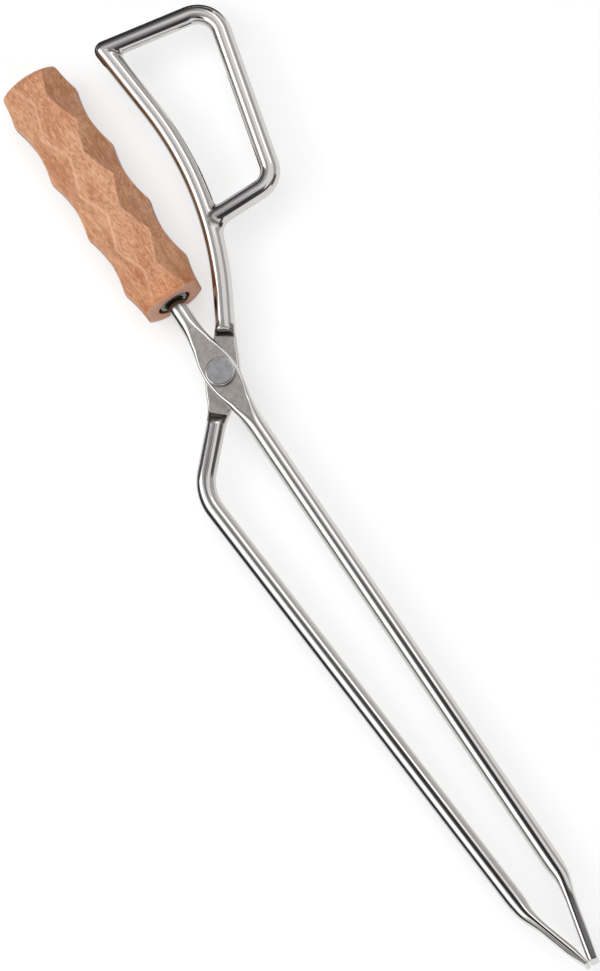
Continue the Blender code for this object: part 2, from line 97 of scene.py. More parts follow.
def bentLine(start, leans, runs, radii):
    # Straight runs joined by arcs tangent to both. One row a piece: distance so far, x, y, lean, curvature
    leans = np.radians(leans)
    turns = np.diff(leans)
    trims = np.concatenate([[0], np.abs(np.array(radii) * np.tan(turns / 2)), [0]])
    rows, place, passed = [], np.array(start, float), 0.0
    for index, run in enumerate(runs):
        straight = run - trims[index] - trims[index + 1]
        rows.append((passed, *place, leans[index], 0.0))
        place = place + straight * heading(leans[index])
        passed += straight
        if index < len(turns):
            bend = np.sign(turns[index]) / radii[index]
            rows.append((passed, *place, leans[index], bend))
            sweep = [np.cos(leans[index]) - np.cos(leans[index + 1]), np.sin(leans[index]) - np.sin(leans[index + 1])]
            place = place + np.array(sweep) / bend
            passed += abs(turns[index]) * radii[index]
    return np.array(rows), passed


def alongLine(line, s):
    # On a straight: place + distance * heading. On an arc: the difference of the two leans' (cos, sin) over curvature
    row = line[np.clip(np.searchsorted(line[:, 0], s, side="right") - 1, 0, len(line) - 1)]
    ahead = s - row[:, 0]
    lean = row[:, 3] + row[:, 4] * ahead
    straight = np.abs(row[:, 4]) < 1e-9
    curve = np.where(straight, 1.0, row[:, 4])[:, None]
    arc = np.stack([np.cos(row[:, 3]) - np.cos(lean), np.sin(row[:, 3]) - np.sin(lean)], -1) / curve
    step = np.where(straight[:, None], ahead[:, None] * heading(row[:, 3]), arc)
    return row[:, 1:3] + step, lean


def setAcross(line, s, right, up, onward=0.0):
    # Rings across a line: place + right * (cos lean, sin lean) + onward * heading, and up along Z
    place, lean = alongLine(line, s)
    cosine, sine = np.cos(lean)[:, None], np.sin(lean)[:, None]
    x = place[:, :1] + right * cosine + onward * sine
    return np.stack([x, place[:, 1:] + right * sine - onward * cosine, up], -1)


def walkSteps(start, end, step, dense):
    # Stations whose step shrinks inside each (first, last, step) of dense: equal shares of the summed 1 / step
    s = np.linspace(start, end, 6001)
    size = np.full(s.shape, step)
    for first, last, fine in dense:
        size = np.where((s > first) & (s < last), np.minimum(size, fine), size)
    summed = np.concatenate([[0], np.cumsum(np.diff(s) / size[1:])])
    return np.interp(np.linspace(0, summed[-1], int(summed[-1]) + 2), summed, s)


def ringSection(width, low, high, lowCorner, highCorner):
    # A rounded rectangle, walked from its top middle down its right side to its bottom middle, then mirrored.
    # The walk has five stretches (flat, corner, side, corner, flat), whose corners get three times their length.
    half = (high - low) / 2
    lowCorner = np.minimum(np.minimum(lowCorner, width), half)
    highCorner = np.minimum(np.minimum(highCorner, width), half)
    width, low, high, lowCorner, highCorner = [v[:, None] for v in (width, low, high, lowCorner, highCorner)]
    lengths = [width - highCorner, 1.5 * np.pi * highCorner, high - highCorner - low - lowCorner,
               1.5 * np.pi * lowCorner, width - lowCorner]
    walked = np.linspace(0, 1, rod["ring"])[None] * sum(lengths)
    shares, passed = [], 0.0
    for length in lengths:
        shares.append(np.clip((walked - passed) / np.maximum(length, 1e-9), 0, 1))
        passed = passed + length
    right = (shares[0] * lengths[0] + highCorner * np.sin(shares[1] * np.pi / 2)
             - lowCorner * (1 - np.cos(shares[3] * np.pi / 2)) - shares[4] * lengths[4])
    up = (high - highCorner * (1 - np.cos(shares[1] * np.pi / 2)) - shares[2] * lengths[2]
          - lowCorner * np.sin(shares[3] * np.pi / 2))
    flat = np.where(walked < lengths[0] + lengths[1] / 2, width - highCorner, width - lowCorner)
    onFace = np.clip((flat - np.abs(right)) / rod["faceEdge"], 0, 1)
    mirror = slice(-2, 0, -1)
    return [np.concatenate([part, sign * part[:, mirror]], 1) for part, sign in ((right, -1), (up, 1), (onFace, 1))]


# Meshes from grids

def placed(name, data):
    # An object in the scene that holds a mesh, a lamp or a camera
    made = bpy.data.objects.new(name, data)
    bpy.context.scene.collection.objects.link(made)
    return made


def gridPiece(name, points, body, nodes, material, mapScale=(1.0, 1.0), values=None, wrap=False, sharp=40):
    # points[i, j]: i runs along the piece, j round it and back to its start. wrap joins the last ring to the first,
    # and otherwise both end rings are closed. Faces are turned over if their summed volume comes out negative.
    count, around = points.shape[:2]
    i, j = np.meshgrid(np.arange(count if wrap else count - 1), np.arange(around), indexing="ij")
    ring, beyond, after = i * around, (i + 1) % count * around, (j + 1) % around
    quads = np.stack([ring + j, beyond + j, beyond + after, ring + after], -1).reshape(-1, 4)
    flat = points.reshape(-1, 3)
    a, b, c, d = [flat[quads[:, k]] - flat.mean(0) for k in range(4)]
    volume = (np.cross(a, b) * c).sum() + (np.cross(a, c) * d).sum()
    turnAs = [0, 1, 2, 3] if volume > 0 else [3, 2, 1, 0]
    faces = quads[:, turnAs].tolist()
    if not wrap:
        ends = [np.arange(around), np.arange(around)[::-1] + (count - 1) * around]
        faces += [(end if volume > 0 else end[::-1]).tolist() for end in ends]
    mesh = bpy.data.meshes.new(name)
    mesh.from_pydata(flat.tolist(), [], faces)
    u = np.stack([j, j, j + 1, j + 1], -1).reshape(-1, 4)[:, turnAs] / around
    v = np.stack([i, i + 1, i + 1, i], -1).reshape(-1, 4)[:, turnAs] / (count - 1)
    uv = np.zeros((len(mesh.loops), 2), np.float32)
    uv[:quads.size] = np.stack([u * mapScale[0], v * mapScale[1]], -1).reshape(-1, 2)
    mesh.uv_layers.new(name="pieceMap").data.foreach_set("uv", uv.ravel())
    for label, value in (values or {}).items():
        layer = mesh.attributes.new(label, "FLOAT", "POINT")
        layer.data.foreach_set("value", np.ascontiguousarray(value, np.float32).ravel())
    mesh.validate()
    mesh.shade_smooth()
    mesh.set_sharp_from_angle(angle=np.radians(sharp))
    mesh.materials.append(material)
    piece = placed(name, mesh)
    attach(piece, body)
    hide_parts(*nodes)
    print(name, len(mesh.vertices), "points")


def roundedPath(corners, trims, closed, steps=7):
    # Each corner becomes a curve between two points a trim away from it
    corners = np.array(corners, float)
    t = np.linspace(0, 1, steps)[:, None]
    path = []
    for index, (corner, trim) in enumerate(zip(corners, trims)):
        if not closed and index in (0, len(corners) - 1):
            path.append(corner[None])
            continue
        back = corners[index - 1] - corner
        on = corners[(index + 1) % len(corners)] - corner
        a = corner + trim * back / np.linalg.norm(back)
        b = corner + trim * on / np.linalg.norm(on)
        path.append(cornerCurve(a, corner, b, t))
    return np.concatenate(path)


def refined(path, step, closed=False):
    # Adds points so that no two are further apart than step
    ends = np.concatenate([path[1:], path[:1]]) if closed else path[1:]
    parts = []
    for first, last in zip(path, ends):
        pieces = max(1, int(np.ceil(np.linalg.norm(last - first) / step)))
        parts.append(first + (last - first) * (np.arange(pieces) / pieces)[:, None])
    return np.concatenate(parts + ([] if closed else [path[-1:]]))


def turnedPoints(radius, height, origin, axis, sideways, steps=96):
    # r cos(a) sideways + r sin(a) (axis x sideways) + height along the axis, with r a column or a grid
    angle = np.linspace(0, 2 * np.pi, steps, endpoint=False)[:, None]
    ray = np.cos(angle) * sideways + np.sin(angle) * np.cross(axis, sideways)
    return origin + radius[..., None] * ray + height[:, None, None] * axis


# Shader wires

class Wire:
    # One output socket. Arithmetic on it adds Math nodes, and node() adds any other node
    def __init__(self, tree, socket=None):
        self.tree = tree
        self.socket = socket

    def node(self, kind, settings=None, sockets=None, output=0):
        made = self.tree.nodes.new(kind)
        for name, value in (settings or {}).items():
            if name == "stops":
                ramp = made.color_ramp
                for extra in value[2:]:
                    ramp.elements.new(extra[0])
                for element, (position, colour) in zip(ramp.elements, value):
                    element.position = position
                    element.color = (*colour, 1)
            else:
                setattr(made, name, value)
        for key, value in (sockets or {}).items():
            self.feed(made.inputs[key], value)
        return Wire(self.tree, made.outputs[output])

    def feed(self, target, value):
        if isinstance(value, Wire):
            self.tree.links.new(value.socket, target)
        else:
            target.default_value = value

    def maths(self, operation, *values):
        return self.node("ShaderNodeMath", {"operation": operation}, dict(enumerate(values)))

    def __add__(self, other):
        return self.maths("ADD", self, other)

    def __sub__(self, other):
        return self.maths("SUBTRACT", self, other)

    def __rsub__(self, other):
        return self.maths("SUBTRACT", other, self)

    def __mul__(self, other):
        return self.maths("MULTIPLY", self, other)

    __radd__ = __add__
    __rmul__ = __mul__

    def rise(self, low, high):
        # 0 below low, 1 above high, eased between
        return self.node("ShaderNodeMapRange", {"interpolation_type": "SMOOTHSTEP"},
                         {"Value": self, "From Min": low, "From Max": high})

    def blend(self, first, last):
        # Two colours, by this wire
        return self.node("ShaderNodeMix", {"data_type": "RGBA"}, {0: self, 6: first, 7: last}, 2)

    def place(self):
        return self.node("ShaderNodeTexCoord", output="Object")

    def noise(self, where, scale, detail, roughness=0.5):
        return self.node("ShaderNodeTexNoise",
                         sockets={"Vector": where, "Scale": scale, "Detail": detail, "Roughness": roughness})

    def mask(self, name):
        # A value that the piece's mesh holds at each point, 0 where it has none
        return self.node("ShaderNodeAttribute", {"attribute_name": name}, output="Fac")

    def tinted(self, colour):
        # This colour times another
        return self.node("ShaderNodeMix", {"data_type": "RGBA", "blend_type": "MULTIPLY"},
                         {0: 1.0, 6: self, 7: colour}, 2)


def newLook(name, uniform):
    # A Principled material, its starting wire and its shader, with the uniform values on the shader's own sockets
    look = bpy.data.materials.new(name)
    look.use_nodes = True
    shader = look.node_tree.nodes["Principled BSDF"]
    for socket, value in uniform.items():
        shader.inputs[socket].default_value = value
    return look, Wire(look.node_tree), shader


def rgb(red, green, blue):
    return (red, green, blue, 1.0)


def dress(wire, shader, colour, roughness, settings, height):
    # Feeds a shader its colour, its roughness and a bump
    bump = wire.node("ShaderNodeBump", sockets={"Strength": settings["bumpStrength"],
                                                "Distance": settings["bumpDistance"], "Height": height})
    for socket, fed in ("Base Color", colour), ("Roughness", roughness), ("Normal", bump):
        wire.feed(shader.inputs[socket], fed)


# Steel

# The darkest colour here is painted shade on the arms and the rivet, and darkens the welds' crease
steel = {"polished": rgb(0.70, 0.69, 0.68), "dull": rgb(0.66, 0.64, 0.62), "satin": rgb(0.645, 0.60, 0.575),
         "plain": rgb(0.36, 0.35, 0.33), "forged": rgb(0.10, 0.085, 0.08), "worn": rgb(0.80, 0.785, 0.775),
         "nut": rgb(0.17, 0.18, 0.155), "rivet": rgb(0.58, 0.575, 0.60), "roughness": 0.10, "satinRoughness": 0.42,
         "cloudScale": 160.0, "grainScale": 2600.0, "patchScale": 560.0, "patchRoughness": 0.62,
         "cloudDepth": 0.16, "patchDepth": 1.9, "grainBump": 0.25, "bumpStrength": 0.35, "bumpDistance": 0.0001}


def steelLook(name, colour, satinColour, roughness, satinRoughness, lineScale=(46.0, 2.0, 1.0), lineBump=0.02):
    # Drawn rod: fine polishing lines along it, faint clouding, a blasted and worn grain where the satin mask is on,
    # and a dark colour where its second mask is on: painted shade on the rear plate's shoulders, on the rod at the
    # grip's recess and at the rivet's foot, and a darker crease on the welds
    look, wire, shader = newLook(name, {"Metallic": 1.0})
    around = wire.node("ShaderNodeUVMap", {"uv_map": "pieceMap"})
    place, satin, forged = wire.place(), wire.mask("satin"), wire.mask("forged")
    stretched = wire.node("ShaderNodeMapping", sockets={"Vector": around, "Scale": lineScale})
    lines = wire.noise(stretched, 1.0, 4.0)
    cloud = wire.noise(place, steel["cloudScale"], 3.0)
    grain = wire.noise(place, steel["grainScale"], 2.0)
    patch = wire.noise(place, steel["patchScale"], 5.0, steel["patchRoughness"])
    tone = (forged * 0.9).blend(satin.blend(colour, satinColour), steel["forged"])
    shade = (cloud - 0.5) * steel["cloudDepth"] + satin * (patch - 0.5) * steel["patchDepth"] + 0.5
    worn = shade.rise(0.2, 0.8).blend(steel["worn"], rgb(1.0, 1.0, 1.0))
    rough = roughness + (cloud - 0.5) * 0.06 + (lines - 0.5) * 0.05
    rough = rough + satin * (satinRoughness - roughness + (patch - 0.5) * 0.12)
    dress(wire, shader, tone.tinted(worn), rough, steel, lines * lineBump + satin * grain * steel["grainBump"])
    return look


rodLook = steelLook("polishedRod", steel["polished"], steel["satin"], steel["roughness"], steel["satinRoughness"])
weldLook = steelLook("cleanedWeld", steel["polished"], steel["dull"], 0.12, 0.30, (5.0, 26.0, 1.0), 0.05)
# The fittings' plain colour is darkened as painted shade, standing for the shade in the grip's recess
fittingLook = steelLook("plainFitting", steel["plain"], steel["plain"], 0.28, 0.30)
# The nut's dark colour is painted shade, standing for the shade in the grip's recess
nutLook = steelLook("blackenedNut", steel["nut"], steel["nut"], 0.36, 0.40)
rivetLook = steelLook("turnedRivet", steel["polished"], steel["rivet"], 0.12, 0.40, (1.0, 60.0, 1.0), 0.1)
print("steel looks made")


# The two arms, each bent from one rod that is flattened at the pivot and at its jaw

plate = {"halfWidth": 0.0071, "taper": 0.0220, "corner": 0.0010, "flat": 0.0157, "facet": 0.0270,
         "facetStart": 0.0060, "shoulder": 0.0022, "lowShoulder": 0.0044, "satinFade": 0.0040,
         "arch": 0.0011, "archLength": 0.0100, "archFade": 0.0060}
jaw = {"halfDepth": 0.0045, "corner": 0.0021, "before": 0.0090, "after": 0.0110, "tipTaper": 0.0100,
       "endRound": 0.0005, "slope": 0.14, "slopeEdge": 0.0006, "closingX": -0.0020, "closingGap": 0.00015,
       "closingLength": 0.0120}
# Painted shade on the rear plate's shoulders, from one height up the step to another, and clear of its sides
shoulderShade = {"low": -0.0001, "lowFade": 0.0004, "high": 0.0036, "highFade": 0.0010, "side": 0.97,
             "sideFade": 0.12, "satinEnd": 0.0006}
# Distances between rings on each stretch, how far the fine stretches reach, and the angles of the end rings
armRings = {"rod": 0.0022, "plate": 0.0006, "plateMargin": 0.0010, "shoulder": 0.00022, "shoulderReach": 0.0026,
            "bend": 0.0009, "bentOver": 20, "jawBend": 0.0007, "jawBefore": 0.0100, "jawAfter": 0.0120,
            "tip": 0.0004, "tipLength": 0.0110, "tipAngles": (0.15, 1.5, 7), "domeAngles": (87, 4, 18)}
frontArm = {"leans": [1.15, 1.65, -11.6], "gripStart": 0.0361, "tang": 0.0700, "radii": [0.0600, 0.0240],
            "jawHalf": 0.0022, "tipHalf": 0.0021, "darkLength": 0.0034, "darkFade": 0.0012, "side": 1}
frontArm["runs"] = [frontArm["gripStart"] + frontArm["tang"], 0.2535, 0.0375]
rearArm = {"leans": [5.6, -27.3, -34.86, -41.85, 4.93, 17.7], "aboveRivet": 0.0200, "belowRivet": 0.0119,
           "radii": [0.150, 0.030, 0.030, 0.021, 0.024], "jawHalf": 0.0020, "tipHalf": 0.0010, "side": -1}
rearArm["runs"] = [0.0760, 0.0564, rearArm["aboveRivet"] + rearArm["belowRivet"], 0.0378, 0.2215, 0.0331]


def armSection(arm, past, toTip, pastBend):
    # Half width, low, high, low corner, high corner of each ring, from its distance past the pivot and to the tip
    away = np.abs(past)
    radius = np.full(past.shape, rod["radius"])
    width = between(plate["halfWidth"], radius, ease(away / plate["taper"]))
    facet = ease((away - plate["facetStart"]) / (plate["facet"] - plate["facetStart"]))
    corner = between(plate["corner"], radius, facet)
    if arm["side"] > 0:
        under = ease((away - plate["flat"]) / (plate["facet"] - plate["flat"]))
        atPlate = [width, between(rod["plateGap"] / 2, -radius, under), radius, corner, corner]
    else:
        step = ease((away - plate["flat"]) / np.where(past > 0, plate["lowShoulder"], plate["shoulder"]))
        atPlate = [width, -radius, between(-rod["plateGap"] / 2, radius, step), corner,
                   between(plate["corner"], radius, step)]
    flat = ease((pastBend + jaw["before"]) / (jaw["before"] + jaw["after"]))
    thin = ease(1 - toTip / jaw["tipTaper"])
    depth = between(radius, jaw["halfDepth"], flat)
    corner = between(radius, jaw["corner"], flat)
    atJaw = [between(radius, between(arm["jawHalf"], arm["tipHalf"], thin), flat), -depth, depth, corner, corner]
    width, low, high, lowCorner, highCorner = [np.where(past > plate["facet"], j, p) for p, j in zip(atPlate, atJaw)]
    # The square end is rounded by drawing its last rings in along a quarter circle
    inset = drawnIn(jaw["endRound"], toTip)
    return width - inset, low + inset, high - inset, lowCorner - inset, highCorner - inset


def armPath(arm):
    runs, leans = arm["runs"], np.radians(arm["leans"])
    if arm["side"] > 0:
        start = -runs[0] * heading(leans[0])
    else:
        start = -sum(run * heading(lean) for run, lean in zip((runs[0], runs[1], arm["aboveRivet"]), leans))
    line, length = bentLine(start, arm["leans"], runs, arm["radii"])
    s = np.linspace(0, length, 200001)
    pivotAt = s[np.argmin(np.hypot(*alongLine(line, s)[0].T))]
    bendAt = (line[-2, 0] + line[-1, 0]) / 2
    return line, length, pivotAt, bendAt


def makeArm(name, arm, body, node):
    line, length, pivotAt, bendAt = armPath(arm)
    radius = rod["radius"]
    toFacet = plate["facet"] + armRings["plateMargin"]
    fine = [(pivotAt - toFacet, pivotAt + toFacet, armRings["plate"]),
            (bendAt - armRings["jawBefore"], bendAt + armRings["jawAfter"], armRings["jawBend"]),
            (length - armRings["tipLength"], length, armRings["tip"])]
    for side in (-1, 1):
        shoulderAt, around = pivotAt + side * plate["flat"], armRings["shoulderReach"]
        fine.append((shoulderAt - around, shoulderAt + around, armRings["shoulder"]))
    for first, last in zip(line[1::2], line[2::2]):
        if abs(first[4]) > armRings["bentOver"]:
            fine.append((first[0], last[0], armRings["bend"]))
    s = walkSteps(0.0, length - jaw["endRound"], armRings["rod"], fine)
    ends = length - jaw["endRound"] * (1 - np.sin(np.linspace(*armRings["tipAngles"])))
    s = np.concatenate([s, ends])
    width, low, high, lowCorner, highCorner = armSection(arm, s - pivotAt, length - s, s - bendAt)
    if arm["side"] < 0:
        # The stem's end is domed: rings of radius R cos(a), R sin(a) before its centre
        rise = np.radians(np.linspace(*armRings["domeAngles"]))
        s = np.concatenate([-radius * np.sin(rise), s])
        dome = radius * np.cos(rise)
        signs = (1, width), (-1, low), (1, high), (1, lowCorner), (1, highCorner)
        width, low, high, lowCorner, highCorner = [np.concatenate([sign * dome, value]) for sign, value in signs]
    right, up, onFace = ringSection(width, low, high, lowCorner, highCorner)
    away = np.abs(s - pivotAt)[:, None]
    edge = np.abs(right) / np.maximum(width, 1e-6)[:, None]
    if arm["side"] > 0:
        # The front jaw's top falls away to the right as a flat: depth less slope * right, with a small round edge
        flatten = ease((s - bendAt + jaw["before"]) / (jaw["before"] + jaw["after"]))[:, None]
        drop = drawnIn(jaw["slopeEdge"], width[:, None] - right)
        onTop = (right > 0) & (up > 0) & (edge < 0.999)
        up = np.where(onTop, between(up, high[:, None] - jaw["slope"] * right - drop, flatten), up)
        arched = 0 * up
    else:
        # Where the rod steps up from its plate, the step's far end is an arch: its middle stands further out
        reach = np.where(s > pivotAt, plate["lowShoulder"], plate["shoulder"])[:, None]
        grown = ease((away - plate["flat"]) / reach)
        grown = grown * ease((plate["flat"] + plate["archLength"] - away) / plate["archFade"])
        arched = np.sign(s - pivotAt)[:, None] * plate["arch"] * grown * (1 - edge ** 2) * np.clip(up / radius, 0, 1)
    points = setAcross(line, s, right, up, arched)
    # The closed tips meet on a flat
    meeting = s > length - jaw["closingLength"]
    limit = jaw["closingX"] + arm["side"] * jaw["closingGap"]
    points[meeting, :, 0] = arm["side"] * np.maximum(arm["side"] * points[meeting, :, 0], arm["side"] * limit)
    points += pivot
    # No point reaches past the CAD's box along X
    points[..., 0] = np.clip(points[..., 0], cadBounds[0][0] + rod["inBox"], cadBounds[1][0] - rod["inBox"])
    satin = onFace * ease((plate["facet"] + plate["satinFade"] - away) / plate["satinFade"])
    if arm["side"] > 0:
        # Painted shade where the rod leaves the nut and the grip's recess
        dark = ease((pivotAt - arm["gripStart"] + arm["darkLength"] - s) / arm["darkFade"])
        forged = dark[:, None] * np.ones(up.shape)
    else:
        # Painted shade up the rear plate's steps
        onTop = (up > shoulderShade["low"]) & (away < plate["flat"] + plate["lowShoulder"])
        onStep = ease((up - shoulderShade["low"]) / shoulderShade["lowFade"])
        onStep = onStep * ease((shoulderShade["high"] - up) / shoulderShade["highFade"])
        forged = np.where(onTop, ease((shoulderShade["side"] - edge) / shoulderShade["sideFade"]) * onStep, 0.0)
        satin = satin * np.where((up > 0) & (away > plate["flat"] + shoulderShade["satinEnd"]), 0.0, 1.0)
    mapScale = (1.0, (s[-1] - s[0]) / (2 * np.pi * radius))
    masks = {"satin": satin, "forged": forged}
    gridPiece(name, points, body, [node], rodLook, mapScale, masks)


makeArm("frontRod", frontArm, "front", "front_arm")
makeArm("rearRod", rearArm, "rear", "rear_arm")


# The finger loop and its two welds

loop = {"runs": [0.0473, 0.0782], "leans": [79.6, -12.35, -90.0], "radii": [0.0110, 0.0090], "step": 0.0014,
        "bendStep": 0.0006}
# The fillets' widths above and below the bar, in the upper corner, and their share that is lost over the rods' tops.
# A weld's sleeve reaches a leg past the rods' surfaces, stands proud of them, and sinks at its edges
weld = {"above": 0.00238, "below": 0.0050, "inCorner": 0.00272, "topLoss": 0.75, "leg": 0.0046, "pastSide": 0.12,
        "steps": 27, "sink": 0.72, "proud": 0.000006, "edgeSink": 0.00002, "edgeFade": 0.2, "rounds": 9,
        "leastSlope": 0.2, "tintWidth": 0.0011, "tintLow": 0.0012, "tintFade": 0.0012, "stemPieces": 160,
        "barPieces": 240}


def loopPath():
    line, _, pivotAt, _ = armPath(rearArm)
    cornerA = line[0, 1:3]
    cornerB = cornerA + loop["runs"][0] * heading(np.radians(loop["leans"][0]))
    cornerC = cornerB + loop["runs"][1] * heading(np.radians(loop["leans"][1]))
    s = np.linspace(0, pivotAt, 20001)
    stem, _ = alongLine(line, s)
    landsAt = np.interp(-cornerC[1], -stem[:, 1], s)
    landing, stemLean = alongLine(line, np.array([landsAt]))
    runs = loop["runs"] + [cornerC[0] - landing[0, 0]]
    return bentLine(cornerA, loop["leans"], runs, loop["radii"]), cornerA, landing[0], stemLean[0]


def makeLoop():
    (line, length), *_ = loopPath()
    bends = [(first[0], last[0], loop["bendStep"]) for first, last in zip(line[1::2], line[2::2])]
    s = walkSteps(0.0, length, loop["step"], bends)
    radius = np.full(s.shape, rod["radius"])
    right, up, _ = ringSection(radius, -radius, radius, radius, radius)
    points = setAcross(line, s, right, up) + pivot
    mapScale = (1.0, length / (2 * np.pi * rod["radius"]))
    gridPiece("fingerLoopRod", points, "rear", ["finger_loop"], rodLook, mapScale)


def rodDistance(points, path):
    # To the nearest of a path's straight pieces, less the rod's radius, and the way there
    first, last = path[:-1], path[1:]
    span = last - first
    offset = points[:, None] - first[None]
    share = np.clip((offset * span).sum(-1) / (span * span).sum(-1), 0, 1)
    away = offset - share[..., None] * span
    length = np.linalg.norm(away, axis=-1)
    nearest = np.argmin(length, 1)[:, None]
    way = np.take_along_axis(away / length[..., None], nearest[..., None], 1)[:, 0]
    return np.take_along_axis(length, nearest, 1)[:, 0] - rod["radius"], way


def blendedSurface(points, stemPath, barPath, widthAt, proud):
    # Moves points onto the rods' common surface, whose crease is filled: Newton steps, distance over its own slope
    shape, points = points.shape, points.reshape(-1, 3).copy()
    for _ in range(weld["rounds"]):
        toStem, stemWay = rodDistance(points, stemPath)
        toBar, barWay = rodDistance(points, barPath)
        width = np.maximum(widthAt(points), 1e-6)
        filled = np.clip(1 - np.abs(toStem - toBar) / width, 0, 1)
        stemPart = np.where(toStem < toBar, 1 - filled / 2, filled / 2)[:, None]
        slope = stemPart * stemWay + (1 - stemPart) * barWay
        distance = smoothMin(toStem, toBar, width) - proud.reshape(-1)
        points = points - (distance / np.maximum((slope * slope).sum(-1), weld["leastSlope"]))[:, None] * slope
    return points.reshape(shape)


def makeWeld(name, node, corner, stemWay, barWay, paths, angle, widthAt, repeats, wrap):
    # A sleeve round the bar, at each angle from a ring on the bar to a ring on the stem, and then onto the surface
    radius, up = rod["radius"], np.array([0, 0, 1.0])
    reach = radius + weld["leg"]
    beside = barWay - np.dot(barWay, stemWay) * stemWay
    beside = beside / np.linalg.norm(beside)
    across = np.cross(up, barWay)
    across = across * np.sign(np.dot(across, stemWay))
    c, s = np.cos(angle)[:, None], np.sin(angle)[:, None]
    onBar = corner + reach * barWay + radius * (c * across + s * up)
    stemAngle = (np.pi / 2 + weld["pastSide"]) * s
    onStem = corner + c * reach * stemWay + radius * (np.cos(stemAngle) * beside + np.sin(stemAngle) * up)
    t = np.linspace(0, 1, weld["steps"])[None, :, None]
    face = onBar[:, None] * (1 - t) + onStem[:, None] * t
    inside = np.minimum(t, 1 - t)[..., 0] * np.ones(face.shape[:2])
    whole = ease(inside / weld["edgeFade"])
    proud = between(-weld["edgeSink"], weld["proud"], whole)
    face = blendedSurface(face, *paths, widthAt, proud)
    # Darker along the top of the crease, where the rods' surfaces are equally near
    toStem, toBar = [rodDistance(face.reshape(-1, 3), path)[0] for path in paths]
    tint = ease(1 - np.abs(toStem - toBar) / weld["tintWidth"]).reshape(face.shape[:2]) * whole
    tint = tint * ease((face[..., 2] - weld["tintLow"]) / weld["tintFade"])
    back = corner + weld["sink"] * (face[:, weld["steps"] // 2:weld["steps"] // 2 + 1] - corner)
    points, tint = np.concatenate([face, back], 1) + pivot, np.concatenate([tint, 0 * tint[:, :1]], 1)
    gridPiece(name, points, "rear", [node], weldLook, (1.0, repeats), {"forged": tint}, wrap)


def makeWelds():
    (barLine, barLength), cornerA, landing, stemLean = loopPath()
    stemLine, _, pivotAt, _ = armPath(rearArm)
    flat = [alongLine(stemLine, np.linspace(0, pivotAt - plate["facet"], weld["stemPieces"]))[0],
            alongLine(barLine, np.linspace(0, barLength, weld["barPieces"]))[0]]
    paths = [np.concatenate([path, 0 * path[:, :1]], 1) for path in flat]
    stemUp, barOut = np.append(-heading(stemLean), 0), np.append(-heading(np.radians(loop["leans"][2])), 0)
    foot = np.append(landing, 0)

    def overTop(points):
        # Fillets thin out over the rods' tops: 1 - loss * (height / radius)^2
        return 1 - weld["topLoss"] * np.clip(points[:, 2] / rod["radius"], -1, 1) ** 2

    def lowWidth(points):
        # The fillet under the bar is larger than the one above it
        under = ease(0.5 - ((points - foot) @ stemUp) / rod["radius"])
        return between(weld["above"], weld["below"], under) * overTop(points)

    full = np.linspace(0, 2 * np.pi, 180, endpoint=False)
    makeWeld("lowerWeld", "lower_weld_bead", foot, stemUp, barOut, paths, full, lowWidth, 4.0, True)

    corner = np.append(cornerA, 0)
    stemDown = np.append(heading(np.radians(rearArm["leans"][0])), 0)
    barOn = np.append(heading(np.radians(loop["leans"][0])), 0)
    middle = (stemDown + barOn) / np.linalg.norm(stemDown + barOn)

    def topWidth(points):
        return weld["inCorner"] * ease(((points - corner) @ middle) / rod["radius"]) * overTop(points)

    half = np.radians(np.linspace(-80, 80, 100))
    makeWeld("upperWeld", "upper_weld_bead", corner, stemDown, barOn, paths, half, topWidth, 2.0, False)


makeLoop()
makeWelds()


# The grip: eight columns of shallow scallops in a turned blank

grip = {"lean": frontArm["leans"][0], "start": frontArm["gripStart"], "count": 4, "pitch": 0.0280, "scallop": 0.0460,
        "valley": 0.0125, "blank": 0.0154, "topRound": 0.0055, "lowRound": 0.0030, "lowEase": 0.0022,
        "topEase": 0.0045, "lowFace": 0.0110, "topFace": 0.0085, "recess": 0.00715, "recessDepth": 0.0048,
        "pocket": 0.0063, "pocketEnd": 0.0351, "bore": 0.0043, "boreEnd": 0.0703, "boreMiddle": 0.0004,
        "edge": 0.0004, "blankEdge": 0.0006, "faceSteps": 20, "sideSteps": 182, "endSteps": 14, "crownSteps": 16,
        "lowSoak": 0.0080, "topSoak": 0.0035}
gripAxis = -np.append(heading(np.radians(grip["lean"])), 0)
gripSide = np.cross(gripAxis, (0, 0, 1))
gripFoot = pivot + grip["start"] * gripAxis


def scallopHalfWidth(along, shift):
    # Valley half width plus a drum's sagitta: R - sqrt(R^2 - off^2). The ridge between two scallops is rounded by a
    # parabola: slope * (past - past^2 / (2 edge)). Also returned is how far up that ridge a point is, from 0 to 1
    nearest = (along / grip["pitch"] - shift) % 1
    off = np.minimum(nearest, 1 - nearest) * grip["pitch"]
    turn = grip["pitch"] / 2 - grip["edge"]
    drum = np.minimum(off, turn)
    depth = grip["scallop"] - np.sqrt(grip["scallop"] ** 2 - drum ** 2)
    slope = turn / np.sqrt(grip["scallop"] ** 2 - turn ** 2)
    past = np.clip(off - turn, 0, None)
    return grip["valley"] + depth + slope * (past - past ** 2 / (2 * grip["edge"])), np.clip(past / grip["edge"], 0, 1)


